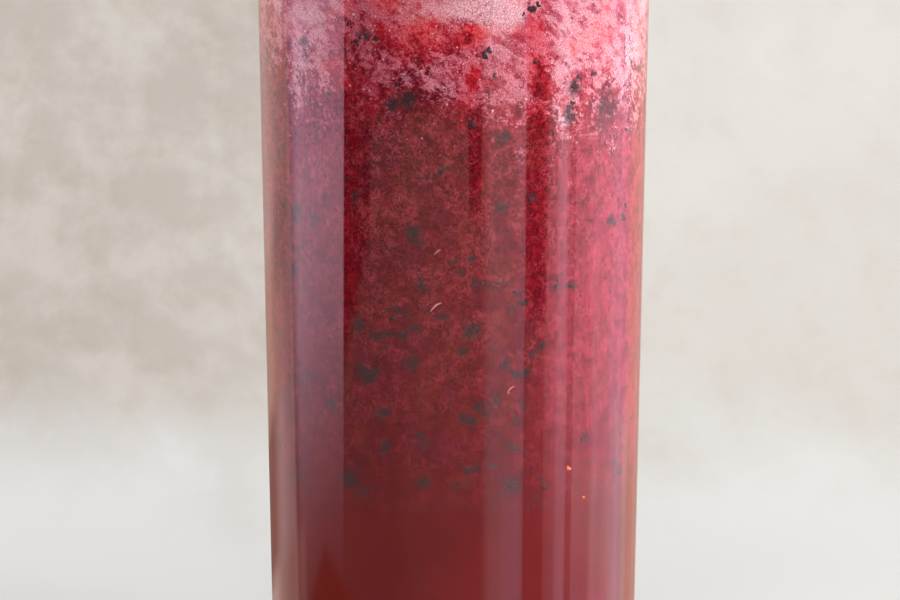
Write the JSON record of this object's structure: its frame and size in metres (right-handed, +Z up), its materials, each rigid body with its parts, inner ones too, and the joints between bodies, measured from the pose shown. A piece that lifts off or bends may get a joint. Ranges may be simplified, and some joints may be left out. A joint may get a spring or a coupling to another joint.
{
  "type": "glass of layered berry lemonade",
  "caption": "Tall clear tapered drinking glass filled with red berry lemonade: clear juice at the bottom, seedy pulp above it and pink froth on top.",
  "frame": {"origin": "centre of the underside of the glass, on the surface it stands on", "axes": "+Z up along the glass, +Y away from the viewer, +X to the viewer's right"},
  "size_m": [0.0682, 0.0682, 0.15],
  "materials": {
    "glass": "clear, polished",
    "juice": "clear deep red liquid",
    "pulp": "cloudy crimson liquid full of fine pulp and dark seeds",
    "foam": "pale pink froth with fine bubbles and red pulp"
  },
  "bodies": {
    "root": {"glass": "glass", "juice": "juice", "pulp": "pulp", "foam": "foam"}
  },
  "joints": []
}
